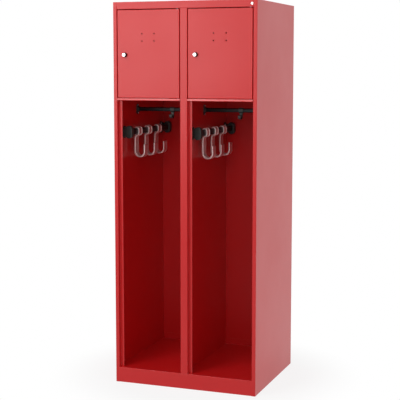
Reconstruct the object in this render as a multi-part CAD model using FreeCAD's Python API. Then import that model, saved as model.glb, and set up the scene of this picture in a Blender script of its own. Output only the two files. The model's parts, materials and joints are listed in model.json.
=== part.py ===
import FreeCAD, Part
import collections
import math
import os

# Two-bay locker of folded red sheet steel on a plinth: a small lockable compartment at the top of each
# bay, an open hanging space with sliding hooks below it.
# Millimetres. Origin at the middle of the underside of the bounding box, +X to the right as seen from
# the front, +Y to the back, +Z up.

Vector = FreeCAD.Vector
ALONG_X = Vector(1, 0, 0)
ALONG_Y = Vector(0, 1, 0)
ALONG_Z = Vector(0, 0, 1)

# Overall size of the carcass, with the lock heads standing proud of its front
WIDTH = 700.0
DEPTH = 600.0
HEIGHT = 1800.0
LOCK_PROUD = 16.0
FRONT = -(DEPTH - LOCK_PROUD) / 2
BACK = FRONT + DEPTH

# Sheet metal: gauge, inside radius of a fold, welding flanges, room between sheets that pass each other
SHEET = 0.8
BEND = 1.6
FLANGE = 15.0
PASS = 0.2
BACK_INNER = BACK - 2 * SHEET
FOLD_ROOM = SHEET + BEND + PASS

# Front frame
SIDE_POST = 18.0
CENTRE_POST = 35.0
POST_DEPTH = 20.0
POST_HEM = 8.0
STOP_WIDTH = 16.0
HEADER = 33.5
HEADER_DEPTH = 18.0
HEADER_HEM = 10.0
PLINTH = 72.0
PLINTH_FOOT = 25.0
UPSTAND = 30.0
PARTITION_FLANGE = 12.0

# Compartment floor with its folded nose, which leans out below the doors and catches the light
SHELF_TOP = 1358.5
NOSE_HEIGHT = 10.5
NOSE_PROUD = 5.0
NOSE_LEAN = 4.9
NOSE_BENDS = (0.8, 0.8)
NOSE_DEPTH = 16.0

# Doors, with the pivot line measured from the door's right edge and front face
DOOR_SHEET = 1.0
DOOR_DEPTH = 18.0
DOOR_GAP = 3.5
DOOR_LIP = 10.0
DOOR_EDGE = 2.0
DOOR_BOTTOM = SHELF_TOP + 1.5
DOOR_TOP = HEIGHT - HEADER - DOOR_GAP
PIVOT_IN = 12.0
PIVOT_BACK = 8.5
VENT_RADIUS = 3.2
VENT_SPREAD = (30.0, 16.5)
VENT_HEIGHT = 1637.0
HAT_WIDTH = 24.0
HAT_DEPTH = 12.0
HAT_FLANGE = 12.0
HAT_SHORT = 15.0

# Pivot pins and buffers
PIN_RADIUS = 2.5
RUNNING = 0.05
PIN_COLLAR = (4.0, 1.0)
PIN_RIVET = (3.5, 1.5)
PIN_REACH = 10.5
BUFFER_RADIUS = 5.0
BUFFER_THICK = 1.6
BUFFER_IN = 9.0
BUFFER_FROM_END = 40.0

# Cam lock: distance from the door's left edge, height, radii and depths behind the front face
LOCK_IN = 38.0
LOCK_HEIGHT = 1558.0
LOCK_BASE_RADIUS = 11.0
LOCK_FACE_RADIUS = 8.5
LOCK_RIM = 0.6
LOCK_SHANK_RADIUS = 8.0
LOCK_SHANK = 17.0
NUT_ACROSS = 22.0
NUT_THICK = 4.0
PLUG_RADIUS = 6.0
PLUG_HEAD = (7.5, 3.0)
PLUG_RECESS = 0.2
KEYWAY = (1.4, 7.0, 4.0)
DRIVE_SIDE = 8.0
CAM_START = 21.6
CAM_THICK = 2.0
CAM_REACH = 36.0
CAM_HALF = 8.0
CAM_HUB = 9.0
CAM_SCREW = (2.0, 8.0, 5.0, 2.4)

# Hook rail of each bay: oval tube along Y, its place from the bay's left wall
RAIL_OVAL = (30.0, 15.0)
RAIL_WALL = 1.2
RAIL_IN = 33.0
RAIL_HEIGHT = 1194.0
BRACKET_FRONT = 87.5
BRACKET_REAR = BACK_INNER - FOLD_ROOM - FRONT
BRACKET_OVAL = (60.0, 36.0)
BRACKET_THICK = 25.0
BRACKET_EDGE = 3.0
NECK_OVAL = (44.0, 17.0)
FOOT_OVAL = (60.0, 42.0)
FOOT_THICK = 4.0
NECK_BACK = 5.0
SOCKET_DEEP = 13.0
SEAT = 0.05

# Cast hooks on the hook rail: a wide strap with a raised rim along both edges
HOOK_PLACES = (206.0, 328.0, 450.0)
SLEEVE_LONG = 42.0
SLEEVE_RIM = 8.0
SLEEVE_WALL = (4.8, 6.8)
SLIDING = 0.08
STRAP_WIDE = 42.0
STRAP_RIM = (8.0, 9.0)
STRAP_WEB = 4.0
STRAP_SOFT = 1.5
HOOK_ARM_WALL = -10.0
HOOK_ARM_ROOM = 39.0
HOOK_START = -15.0
HOOK_NECK = -28.0
HOOK_NECK_BEND = 14.0
HOOK_LOW = -122.5
HOOK_TIP = -67.5
HOOK_CURVE = (HOOK_ARM_ROOM - HOOK_ARM_WALL) / 2 - 0.1

# Clothes rail across each bay, with its end sockets and one moulded hook
CROSS_OVAL = (20.0, 12.0)
CROSS_WALL = 1.5
CROSS_BACK = 270.0
CROSS_HEIGHT = 1298.0
CROSS_END = 4.0
CUP_OVAL = (27.0, 19.0)
CUP_LONG = 12.0
CUP_FLOOR = 3.0
CUP_PLATE = (52.0, 24.0)
SLIDE_HOOK_IN = 187.0
SLIDE_RING_LONG = 22.0
SLIDE_RING_WALL = 3.0
SLIDE_STRAP = (16.0, 7.0)
SLIDE_HOOK_LOW = -39.0
SLIDE_HOOK_OUT = 26.0
SLIDE_HOOK_TIP = -26.0
SLIDE_HOOK_BEND = 12.0

# Dome nuts on welded studs
STUD_RADIUS = 2.0
STUD_HOLE = 2.2
DOME_RADIUS = 4.0
DOME_TALL = 4.4
BRACKET_STUDS = (-20.0, 20.0)
BRACKET_STUD_BACK = 36.0
CUP_STUDS = (-20.0, 20.0)

# Plain disc on the header
DISC_RADIUS = 6.0
DISC_THICK = 0.8
DISC_PLACE = (325.0, 1782.0)

Bay = collections.namedtuple("Bay", "name left_wall right_wall left_post right_post")
BAYS = (
    Bay("left", -WIDTH / 2 + SHEET, -SHEET / 2, -WIDTH / 2 + SIDE_POST, -CENTRE_POST / 2),
    Bay("right", SHEET / 2, WIDTH / 2 - SHEET, CENTRE_POST / 2, WIDTH / 2 - SIDE_POST),
)


def line(start, end):
    """Straight edge between two points."""
    return Part.LineSegment(start, end).toShape()


def block(low, high):
    """Block between its lowest and highest corners."""
    return Part.makeBox(*(b - a for a, b in zip(low, high)), Vector(*low))


def joined(*shapes):
    """One solid made of shapes that share faces, without seams between them."""
    return shapes[0].multiFuse(shapes[1:]).removeSplitter().Solids[0]


def rounded_run(points, radii):
    """Edges of an open run of straight lines whose corners are rounded to the given radii."""
    edges = []
    start = points[0]
    for before, corner, after, radius in zip(points, points[1:], points[2:], radii):
        arriving = (corner - before).normalize()
        leaving = (after - corner).normalize()
        half_turn = arriving.getAngle(leaving) / 2
        reach = radius * math.tan(half_turn)
        inward = (leaving - arriving).normalize()
        arc_start = corner - arriving * reach
        arc_middle = corner + inward * (radius / math.cos(half_turn) - radius)
        arc_end = corner + leaving * reach
        edges.append(line(start, arc_start))
        edges.append(Part.Arc(arc_start, arc_middle, arc_end).toShape())
        start = arc_end
    edges.append(line(start, points[-1]))
    return edges


def lefts_of(points, normal):
    """Directions to the left of each straight stretch of a run, seen against the normal."""
    return [normal.cross((b - a).normalize()) for a, b in zip(points, points[1:])]


def moved_run(points, radii, normal, aside):
    """Edges of a run with rounded corners, moved to its left by a distance."""
    lefts = lefts_of(points, normal)
    moved = [points[0] + lefts[0] * aside]
    moved_radii = []
    for corner, first, second, radius in zip(points[1:], lefts, lefts[1:], radii):
        moved.append(corner + (first + second) * (aside / (1 + first.dot(second))))
        turns_left = first.cross(second).dot(normal) > 0
        moved_radii.append(radius - aside if turns_left else radius + aside)
    moved.append(points[-1] + lefts[-1] * aside)
    return rounded_run(moved, moved_radii)


def swept(edges, sweep):
    """Solid swept from the face inside a ring of edges given in any order."""
    return Part.Face(Part.Wire(Part.sortEdges(edges)[0])).extrude(sweep)


def folded_sheet(points, sweep, bends=()):
    """Sheet folded along a run of points, thickened to the left of the run and swept square to it."""
    normal = Vector(sweep).normalize()
    lefts = lefts_of(points, normal)
    left_turns = [first.cross(second).dot(normal) > 0 for first, second in zip(lefts, lefts[1:])]
    bends = bends or [BEND] * len(left_turns)
    radii = [bend + SHEET if turns_left else bend for turns_left, bend in zip(left_turns, bends)]
    near = moved_run(points, radii, normal, 0)
    far = moved_run(points, radii, normal, SHEET)
    start, end = points[0], points[-1]
    ends = [line(start, start + lefts[0] * SHEET), line(end, end + lefts[-1] * SHEET)]
    return swept(near + far + ends, sweep)


def strap(points, radii, thick, sweep):
    """Band of even thickness along the middle of a run, with a half-round far end, swept square to it."""
    normal = Vector(sweep).normalize()
    lefts = lefts_of(points, normal)
    half = thick / 2
    forward = (points[-1] - points[-2]).normalize()
    edges = moved_run(points, radii, normal, half) + moved_run(points, radii, normal, -half)
    edges.append(line(points[0] + lefts[0] * half, points[0] - lefts[0] * half))
    tip = points[-1]
    edges.append(Part.Arc(tip + lefts[-1] * half, tip + forward * half, tip - lefts[-1] * half).toShape())
    return swept(edges, sweep)


def plan_fold(corners, low, high):
    """Folded sheet with its run drawn in plan, standing from one height to another."""
    return folded_sheet([Vector(x, y, low) for x, y in corners], ALONG_Z * (high - low))


def side_fold(corners, left, right, bends=()):
    """Folded sheet with its run drawn from the side, reaching from one X to another."""
    return folded_sheet([Vector(left, y, z) for y, z in corners], ALONG_X * (right - left), bends)


def turned(profile, base, axis):
    """Solid of revolution: profile holds (radius, distance from the base along the axis)."""
    outward = ALONG_X if abs(axis.x) < 0.5 else ALONG_Y
    points = [base + outward * radius + axis * along for radius, along in profile]
    solid = Part.Face(Part.makePolygon(points + points[:1])).revolve(base, axis, 360)
    return Part.makeSolid(solid.Shells[0])


def oval_bar(oval, centre, along):
    """Bar of upright oval section with half-round ends, from its centre along the given vector."""
    height, width = oval
    across = ALONG_Z.cross(along).normalize() * (width / 2)
    up = ALONG_Z * (height / 2 - width / 2)
    crown = ALONG_Z * (height / 2)
    edges = [
        Part.Arc(centre + up - across, centre + crown, centre + up + across).toShape(),
        line(centre + up + across, centre - up + across),
        Part.Arc(centre - up + across, centre - crown, centre - up - across).toShape(),
        line(centre - up - across, centre + up - across),
    ]
    return Part.Face(Part.Wire(edges)).extrude(along)


def grown(oval, wall):
    """Oval section made larger by a wall all round, or smaller by a negative one."""
    return (oval[0] + 2 * wall, oval[1] + 2 * wall)


def softened(solid, across, places, radius):
    """Solid with the rim of its flat faces rounded, at the given places along a direction."""
    edges = []
    for edge in solid.Edges:
        distances = [vertex.Point.dot(across) for vertex in edge.Vertexes]
        if any(max(abs(distance - place) for distance in distances) < SEAT for place in places):
            edges.append(edge)
    return solid.makeFillet(radius, edges)


def side_panel(has_stop):
    """Left side: rear flange, side, front post and its return, ending in a stop strip or in a hem."""
    outer = -WIDTH / 2
    inner = outer + SIDE_POST
    post_back = FRONT + POST_DEPTH
    end = inner + STOP_WIDTH if has_stop else inner - POST_HEM
    plain = [(outer + FLANGE, BACK), (outer, BACK), (outer, FRONT), (inner, FRONT)]
    full = plain + [(inner, post_back), (end, post_back)]
    top = HEIGHT - SHEET
    return joined(
        plan_fold(full, PLINTH, top), plan_fold(plain, 0, PLINTH), plan_fold(plain, top, HEIGHT)
    )


def right_side_panel():
    """Mirror image of a left side that ends in a hem, because the door hangs here."""
    return side_panel(False).mirror(Vector(), ALONG_X)


def centre_post():
    """Hat-shaped post between the doors, with the stop strip of the right door."""
    half = CENTRE_POST / 2
    post_back = FRONT + POST_DEPTH
    corners = [
        (-half + POST_HEM, post_back), (-half, post_back), (-half, FRONT),
        (half, FRONT), (half, post_back), (half + STOP_WIDTH, post_back),
    ]
    return plan_fold(corners, PLINTH, HEIGHT - HEADER)


def centre_partition():
    """Sheet between the bays, folded behind the centre post and at the back panel."""
    left = -SHEET / 2
    post_inner = FRONT + SHEET
    corners = [
        (left + PARTITION_FLANGE, BACK_INNER), (left, BACK_INNER),
        (left, post_inner), (left + PARTITION_FLANGE, post_inner),
    ]
    sheet = plan_fold(corners, PLINTH, HEIGHT - SHEET)
    behind_flanges = BACK_INNER - FOLD_ROOM
    notches = [
        block((-CENTRE_POST, FRONT, HEIGHT - HEADER - PASS), (CENTRE_POST, FRONT + POST_DEPTH, HEIGHT)),
        block((-CENTRE_POST, behind_flanges, HEIGHT - FLANGE - PASS), (CENTRE_POST, BACK, HEIGHT)),
        block((-CENTRE_POST, behind_flanges, 0), (CENTRE_POST, BACK, PLINTH + UPSTAND + PASS)),
    ]
    return sheet.cut(notches).Solids[0]


def back_panel():
    """Flat sheet welded inside the rear flanges of the sides."""
    half = WIDTH / 2 - FOLD_ROOM
    return block((-half, BACK_INNER, 0), (half, BACK_INNER + SHEET, HEIGHT))


def pivot_point(bay, height):
    """Point on the pivot line of a bay's door."""
    return Vector(bay.right_post - DOOR_GAP - PIVOT_IN, FRONT + PIVOT_BACK, height)


def pivot_holes(height):
    """Drills for the pivot pins of both doors through the sheet at one height."""
    return [
        Part.makeCylinder(PIN_RADIUS, 4 * SHEET, pivot_point(bay, height - 2 * SHEET)) for bay in BAYS
    ]


def level_sheet(rear, front, level):
    """Sheet across both bays: front folds between the posts, rear folds clear of the corner bends."""
    between = WIDTH / 2 - SIDE_POST
    inside = WIDTH / 2 - FOLD_ROOM
    beside = WIDTH / 2 - SHEET
    clear_front = FRONT + FOLD_ROOM
    clear_rear = BACK_INNER - FOLD_ROOM
    return joined(
        side_fold(rear + front, -between, between),
        side_fold(rear + [(clear_front, level)], -inside, inside),
        block((-beside, clear_front, level - SHEET), (beside, clear_rear, level)),
    )


def top_panel():
    """Top sheet with a rear flange and the header folded down between the posts."""
    header_bottom = HEIGHT - HEADER
    header_back = FRONT + HEADER_DEPTH
    rear = [(BACK_INNER, HEIGHT - FLANGE), (BACK_INNER, HEIGHT)]
    front = [
        (FRONT, HEIGHT), (FRONT, header_bottom), (header_back, header_bottom),
        (header_back, header_bottom + HEADER_HEM),
    ]
    return level_sheet(rear, front, HEIGHT).cut(pivot_holes(header_bottom)).Solids[0]


def floor_pan():
    """Floor with an upstand at the back, side flanges, and the plinth face folded down at the front."""
    beside = WIDTH / 2 - SHEET
    upstand = BACK_INNER - SHEET
    rear = [(upstand, PLINTH + UPSTAND), (upstand, PLINTH)]
    front = [(FRONT, PLINTH), (FRONT, 0), (FRONT + PLINTH_FOOT, 0)]
    pieces = [level_sheet(rear, front, PLINTH)]
    for left in (-beside, beside - SHEET):
        low = (left, FRONT + PLINTH_FOOT, PLINTH - FLANGE)
        pieces.append(block(low, (left + SHEET, BACK_INNER - 2 * PLINTH_FOOT, PLINTH)))
    return joined(*pieces)


def rear_plinth():
    """Channel along the back that carries the floor."""
    half = WIDTH / 2 - FLANGE
    inner = BACK_INNER - PLINTH_FOOT
    top = PLINTH - SHEET
    return side_fold([(inner, 0), (BACK_INNER, 0), (BACK_INNER, top), (inner, top)], -half, half)


def shelf(bay):
    """Floor of a compartment: notched round the posts, flanged to the walls, with a leaning front nose."""
    left = bay.left_post + PASS
    right = bay.right_post - PASS
    under = SHELF_TOP - SHEET
    nose_back = FRONT + NOSE_DEPTH
    strip_front = FRONT + POST_DEPTH - BEND - PASS
    strip_back = FRONT + POST_DEPTH + SHEET + PASS
    rear = BACK_INNER - FOLD_ROOM
    nose_low = SHELF_TOP - NOSE_HEIGHT
    nose_front = FRONT - NOSE_PROUD
    nose = [
        (nose_back, SHELF_TOP), (nose_front + NOSE_LEAN, SHELF_TOP), (nose_front, nose_low),
        (nose_back, nose_low),
    ]
    flange_low = SHELF_TOP - FLANGE
    pieces = [
        side_fold(nose, left, right, NOSE_BENDS),
        block((left, nose_back, under), (right, strip_front, SHELF_TOP)),
        block((left + STOP_WIDTH, strip_front, under), (right, strip_back, SHELF_TOP)),
        block((bay.left_wall, strip_back, under), (bay.right_wall, rear, SHELF_TOP)),
        block((bay.left_wall, strip_back, flange_low), (bay.left_wall + SHEET, rear, under)),
        block((bay.right_wall - SHEET, strip_back, flange_low), (bay.right_wall, rear, under)),
        side_fold(
            [(BACK_INNER, flange_low), (BACK_INNER, SHELF_TOP), (rear - FLANGE, SHELF_TOP)],
            bay.left_wall + FLANGE, bay.right_wall - FLANGE,
        ),
    ]
    return joined(*pieces).cut(pivot_holes(under)).Solids[0]


def hinge_pins(bay):
    """Riveted pivot pins of one door: one up from the compartment floor, one down from the header."""
    collar_radius, collar_tall = PIN_COLLAR
    rivet_radius, rivet_tall = PIN_RIVET
    profile = [
        (0, -SHEET - rivet_tall), (rivet_radius, -SHEET - rivet_tall), (rivet_radius, -SHEET),
        (PIN_RADIUS, -SHEET), (PIN_RADIUS, 0), (collar_radius, 0), (collar_radius, collar_tall),
        (PIN_RADIUS, collar_tall), (PIN_RADIUS, PIN_REACH - 1), (PIN_RADIUS - 1, PIN_REACH), (0, PIN_REACH),
    ]
    lower = turned(profile, pivot_point(bay, SHELF_TOP), ALONG_Z)
    upper = turned(profile, pivot_point(bay, HEIGHT - HEADER), -ALONG_Z)
    return Part.makeCompound([lower, upper])


def door_buffers():
    """Rubber buffers near both ends of each door's stop strip."""
    stop_face = FRONT + POST_DEPTH
    profile = [
        (0, 0), (BUFFER_RADIUS, 0), (BUFFER_RADIUS, BUFFER_THICK / 2),
        (BUFFER_RADIUS - BUFFER_THICK / 2, BUFFER_THICK), (0, BUFFER_THICK),
    ]
    buffers = []
    for bay in BAYS:
        for height in (DOOR_BOTTOM + BUFFER_FROM_END, DOOR_TOP - BUFFER_FROM_END):
            seat = Vector(bay.left_post + BUFFER_IN, stop_face, height)
            buffers.append(turned(profile, seat, -ALONG_Y))
    return Part.makeCompound(buffers)


def header_disc():
    """Plain disc with a turned edge near the right end of the header."""
    x, z = DISC_PLACE
    profile = [(0, 0), (DISC_RADIUS, 0), (DISC_RADIUS - DISC_THICK / 2, DISC_THICK), (0, DISC_THICK)]
    return turned(profile, Vector(x, FRONT, z), -ALONG_Y)


def door_span(bay):
    """Left and right edges of a bay's door."""
    return bay.left_post + DOOR_GAP, bay.right_post - DOOR_GAP


def front_rounded(low, high, radius):
    """Block whose four front edges are rounded."""
    solid = block(low, high)
    edges = [edge for edge in solid.Edges if abs(edge.BoundBox.YMax - low[1]) < SHEET / 10]
    return solid.makeFillet(radius, edges)


def lock_point(bay, behind):
    """Point on the axis of a bay's lock, at a distance behind the front face."""
    return Vector(door_span(bay)[0] + LOCK_IN, FRONT + behind, LOCK_HEIGHT)


def door_panel(bay):
    """Pressed pan with turned edges and an inward lip, four small holes, lock hole and pivot holes."""
    left, right = door_span(bay)
    skin = DOOR_SHEET
    back = FRONT + DOOR_DEPTH
    pan = front_rounded((left, FRONT, DOOR_BOTTOM), (right, back, DOOR_TOP), DOOR_EDGE)
    hollow = front_rounded(
        (left + skin, FRONT + skin, DOOR_BOTTOM + skin),
        (right - skin, back - skin, DOOR_TOP - skin),
        DOOR_EDGE - skin,
    )
    mouth = block(
        (left + DOOR_LIP, back - 2 * skin, DOOR_BOTTOM + DOOR_LIP),
        (right - DOOR_LIP, back + skin, DOOR_TOP - DOOR_LIP),
    )
    drills = [Part.makeCylinder(LOCK_SHANK_RADIUS + RUNNING, 2 * skin, lock_point(bay, -skin / 2), ALONG_Y)]
    for across in (-VENT_SPREAD[0], VENT_SPREAD[0]):
        for up in (-VENT_SPREAD[1], VENT_SPREAD[1]):
            place = Vector((left + right) / 2 + across, FRONT - skin / 2, VENT_HEIGHT + up)
            drills.append(Part.makeCylinder(VENT_RADIUS, 2 * skin, place, ALONG_Y))
    for height in (DOOR_BOTTOM - skin / 2, DOOR_TOP - 1.5 * skin):
        drills.append(Part.makeCylinder(PIN_RADIUS + RUNNING, 2 * skin, pivot_point(bay, height)))
    return pan.cut([hollow, mouth] + drills).Solids[0]


def door_stiffener(bay):
    """Upright hat section welded behind the middle of the door face."""
    middle = sum(door_span(bay)) / 2
    face = FRONT + DOOR_SHEET
    crown = face + HAT_DEPTH
    half = HAT_WIDTH / 2
    corners = [
        (middle - half - HAT_FLANGE, face), (middle - half, face), (middle - half, crown),
        (middle + half, crown), (middle + half, face), (middle + half + HAT_FLANGE, face),
    ]
    return plan_fold(corners, DOOR_BOTTOM + HAT_SHORT, DOOR_TOP - HAT_SHORT)


def lock_housing(bay):
    """Tapered lock head with a recess for the plug's face, and a shank through the door."""
    bore = PLUG_RADIUS + RUNNING
    recess_radius, recess_deep = (size + RUNNING for size in PLUG_HEAD)
    recess_floor = recess_deep - LOCK_PROUD
    profile = [
        (bore, recess_floor), (recess_radius, recess_floor), (recess_radius, -LOCK_PROUD),
        (LOCK_FACE_RADIUS - LOCK_RIM, -LOCK_PROUD), (LOCK_FACE_RADIUS, LOCK_RIM - LOCK_PROUD),
        (LOCK_BASE_RADIUS, -LOCK_RIM), (LOCK_BASE_RADIUS, 0), (LOCK_SHANK_RADIUS, 0),
        (LOCK_SHANK_RADIUS, LOCK_SHANK), (bore, LOCK_SHANK),
    ]
    return turned(profile, lock_point(bay, 0), ALONG_Y)


def lock_nut(bay):
    """Hexagon nut that clamps the housing behind the door face."""
    corner = NUT_ACROSS / math.sqrt(3)
    seat = lock_point(bay, DOOR_SHEET)
    angles = [math.radians(60 * step) for step in range(7)]
    corners = [seat + Vector(corner * math.cos(a), 0, corner * math.sin(a)) for a in angles]
    hexagon = Part.Face(Part.makePolygon(corners)).extrude(ALONG_Y * NUT_THICK)
    return hexagon.cut(Part.makeCylinder(LOCK_SHANK_RADIUS, NUT_THICK, seat, ALONG_Y)).Solids[0]


def square_drive(bay, start, end, side):
    """Square bar on the lock axis between two depths behind the front face."""
    axis = lock_point(bay, 0)
    half = side / 2
    return block(
        (axis.x - half, FRONT + start, axis.z - half), (axis.x + half, FRONT + end, axis.z + half)
    )


def lock_plug(bay):
    """Turning core: a wide face with a keyway in front, a square drive and a screw hole behind."""
    shoulder = LOCK_SHANK + RUNNING
    face = PLUG_RECESS - LOCK_PROUD
    drive_end = CAM_START + CAM_THICK
    head_radius, head_deep = PLUG_HEAD
    head_back = head_deep - LOCK_PROUD
    head = Part.makeCylinder(head_radius, head_back - face, lock_point(bay, face), ALONG_Y)
    core = Part.makeCylinder(PLUG_RADIUS, shoulder - head_back, lock_point(bay, head_back), ALONG_Y)
    plug = joined(core, head, square_drive(bay, shoulder, drive_end, DRIVE_SIDE))
    wide, tall, deep = KEYWAY
    axis = lock_point(bay, face)
    keyway = block(
        (axis.x - wide / 2, axis.y - 1, axis.z - tall / 2),
        (axis.x + wide / 2, axis.y + deep, axis.z + tall / 2),
    )
    radius, length = CAM_SCREW[:2]
    screw_hole = Part.makeCylinder(radius, length, lock_point(bay, drive_end - length), ALONG_Y)
    return plug.cut([keyway, screw_hole]).Solids[0]


def lock_cam(bay):
    """Flat cam that hangs down while unlocked and turns behind the stop strip when locked."""
    axis = lock_point(bay, CAM_START)
    sweep = ALONG_Y * CAM_THICK
    tip = axis - ALONG_Z * (CAM_REACH - CAM_HALF)
    hub = Part.makeCylinder(CAM_HUB, CAM_THICK, axis, ALONG_Y)
    end = Part.makeCylinder(CAM_HALF, CAM_THICK, tip, ALONG_Y)
    side = ALONG_X * CAM_HALF
    blade = Part.Face(Part.makePolygon([axis - side, axis + side, tip + side, tip - side, axis - side]))
    cam = joined(hub, end, blade.extrude(sweep))
    hole = square_drive(bay, CAM_START - 1, CAM_START + CAM_THICK + 1, DRIVE_SIDE)
    return cam.cut(hole).Solids[0]


def cam_screw(bay):
    """Screw that holds the cam on the plug."""
    radius, length, head_radius, head_tall = CAM_SCREW
    profile = [
        (0, -length), (radius, -length), (radius, 0), (head_radius, 0), (head_radius, head_tall / 2),
        (head_radius - head_tall / 2, head_tall), (0, head_tall),
    ]
    return turned(profile, lock_point(bay, CAM_START + CAM_THICK), ALONG_Y)


def rail_point(bay, behind):
    """Point on the middle line of a bay's hook rail, at a distance behind the front face."""
    return Vector(bay.left_wall + RAIL_IN, FRONT + behind, RAIL_HEIGHT)


def rail_ends():
    """Where the hook rail starts and ends behind the front face, inside its brackets."""
    front = BRACKET_FRONT + BRACKET_THICK - SOCKET_DEEP
    rear = BRACKET_REAR - BRACKET_THICK + SOCKET_DEEP
    return front, rear


def hook_rail(bay):
    """Oval tube along the bay's left wall."""
    front, rear = rail_ends()
    along = ALONG_Y * (rear - front)
    start = rail_point(bay, front)
    return oval_bar(RAIL_OVAL, start, along).cut(oval_bar(grown(RAIL_OVAL, -RAIL_WALL), start, along))


def bracket_at_origin():
    """Moulded rail end on a wall at X = 0: oval head from Y = 0, socket open towards +Y, neck and foot."""
    head = oval_bar(BRACKET_OVAL, Vector(RAIL_IN, 0, 0), ALONG_Y * BRACKET_THICK)
    head = softened(head, ALONG_Y, [0, BRACKET_THICK], BRACKET_EDGE)
    neck = oval_bar(NECK_OVAL, Vector(0, NECK_BACK + NECK_OVAL[1] / 2, 0), ALONG_X * RAIL_IN)
    foot = oval_bar(FOOT_OVAL, Vector(0, NECK_BACK + FOOT_OVAL[1] / 2, 0), ALONG_X * FOOT_THICK)
    socket_start = Vector(RAIL_IN, BRACKET_THICK - SOCKET_DEEP, 0)
    drills = [oval_bar(grown(RAIL_OVAL, SEAT), socket_start, ALONG_Y * BRACKET_THICK)]
    for up in BRACKET_STUDS:
        place = Vector(-1, BRACKET_STUD_BACK, up)
        drills.append(Part.makeCylinder(STUD_HOLE, FOOT_THICK + 2, place, ALONG_X))
    return joined(head, neck, foot).cut(drills).Solids[0]


def bracket(bay, is_front):
    """Rail end near the front of a bay, or the same moulding turned round at the back panel."""
    moulding = bracket_at_origin()
    behind = BRACKET_FRONT
    if not is_front:
        moulding = moulding.mirror(Vector(), ALONG_Y)
        behind = BRACKET_REAR
    moulding.translate(Vector(bay.left_wall, FRONT + behind, RAIL_HEIGHT))
    return moulding


def fixing(seat, out, plate):
    """Welded stud through a plate, with its dome nut."""
    top = plate + DOME_TALL
    profile = [
        (0, 0), (STUD_RADIUS, 0), (STUD_RADIUS, plate), (DOME_RADIUS, plate),
        (DOME_RADIUS, plate + DOME_TALL / 2), (DOME_RADIUS * 0.7, top - DOME_TALL / 8), (0, top),
    ]
    return turned(profile, seat, out)


def bracket_fixings():
    """Studs and dome nuts of the four brackets."""
    places = (BRACKET_FRONT + BRACKET_STUD_BACK, BRACKET_REAR - BRACKET_STUD_BACK)
    return Part.makeCompound([
        fixing(Vector(bay.left_wall, FRONT + behind, RAIL_HEIGHT + up), ALONG_X, FOOT_THICK)
        for bay in BAYS for behind in places for up in BRACKET_STUDS
    ])


def sleeve_envelope(bay, behind):
    """Outside of a hook's sleeve: a narrow band between two raised rims."""
    band_wall, rim_wall = SLEEVE_WALL
    front = behind - SLEEVE_LONG / 2
    rear_rim = behind + SLEEVE_LONG / 2 - SLEEVE_RIM
    return joined(
        oval_bar(grown(RAIL_OVAL, band_wall), rail_point(bay, front), ALONG_Y * SLEEVE_LONG),
        oval_bar(grown(RAIL_OVAL, rim_wall), rail_point(bay, front), ALONG_Y * SLEEVE_RIM),
        oval_bar(grown(RAIL_OVAL, rim_wall), rail_point(bay, rear_rim), ALONG_Y * SLEEVE_RIM),
    )


def hook_sleeve(bay, behind):
    """Sleeve that runs on the oval tube."""
    start = rail_point(bay, behind - SLEEVE_LONG)
    bore = oval_bar(grown(RAIL_OVAL, SLIDING), start, ALONG_Y * (2 * SLEEVE_LONG))
    return sleeve_envelope(bay, behind).cut(bore).Solids[0]


def hook_strap(bay, behind, start, wide, thick):
    """Part of a hook's strap between two distances along the rail, of one thickness."""
    corners = [
        (0, HOOK_START), (HOOK_ARM_WALL, HOOK_NECK), (HOOK_ARM_WALL, HOOK_LOW), (HOOK_ARM_ROOM, HOOK_LOW),
        (HOOK_ARM_ROOM, HOOK_TIP),
    ]
    middle = rail_point(bay, behind + start)
    points = [middle + Vector(across, 0, up) for across, up in corners]
    return strap(points, [HOOK_NECK_BEND, HOOK_CURVE, HOOK_CURVE], thick, ALONG_Y * wide)


def cast_hook(bay, behind):
    """Hook below its sleeve: stem near the wall, half-round bend and upturned end with a bead across it."""
    half = STRAP_WIDE / 2
    rim_wide, rim_thick = STRAP_RIM
    rail_place = rail_point(bay, behind).y
    front_rim = hook_strap(bay, behind, -half, rim_wide, rim_thick)
    rear_rim = hook_strap(bay, behind, half - rim_wide, rim_wide, rim_thick)
    tip = rail_point(bay, behind - half + rim_wide) + Vector(HOOK_ARM_ROOM, 0, HOOK_TIP)
    hook = joined(
        softened(front_rim, ALONG_Y, [rail_place - half], STRAP_SOFT),
        hook_strap(bay, behind, rim_wide - half, STRAP_WIDE - 2 * rim_wide, STRAP_WEB),
        softened(rear_rim, ALONG_Y, [rail_place + half], STRAP_SOFT),
        Part.makeCylinder(rim_thick / 2, STRAP_WIDE - 2 * rim_wide, tip, ALONG_Y),
    )
    return max(hook.cut(sleeve_envelope(bay, behind)).Solids, key=lambda solid: solid.Volume)


def cross_point(bay, inward):
    """Point on the middle line of a bay's clothes rail, at a distance from the bay's left wall."""
    return Vector(bay.left_wall + inward, FRONT + CROSS_BACK, CROSS_HEIGHT)


def clothes_rail(bay):
    """Oval tube across the bay."""
    along = ALONG_X * (bay.right_wall - bay.left_wall - 2 * CROSS_END)
    start = cross_point(bay, CROSS_END)
    return oval_bar(CROSS_OVAL, start, along).cut(oval_bar(grown(CROSS_OVAL, -CROSS_WALL), start, along))


def rail_socket(bay, on_left):
    """Cup with a wall plate that holds one end of the clothes rail."""
    seat = cross_point(bay, 0 if on_left else bay.right_wall - bay.left_wall)
    out = ALONG_X if on_left else -ALONG_X
    body = joined(
        oval_bar(CUP_PLATE, seat, out * CUP_FLOOR), oval_bar(CUP_OVAL, seat, out * CUP_LONG)
    )
    drills = [oval_bar(grown(CROSS_OVAL, SEAT), seat + out * CUP_FLOOR, out * CUP_LONG)]
    for up in CUP_STUDS:
        drills.append(Part.makeCylinder(STUD_HOLE, 2 * CUP_FLOOR, seat + ALONG_Z * up, out))
    return body.cut(drills).Solids[0]


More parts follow.
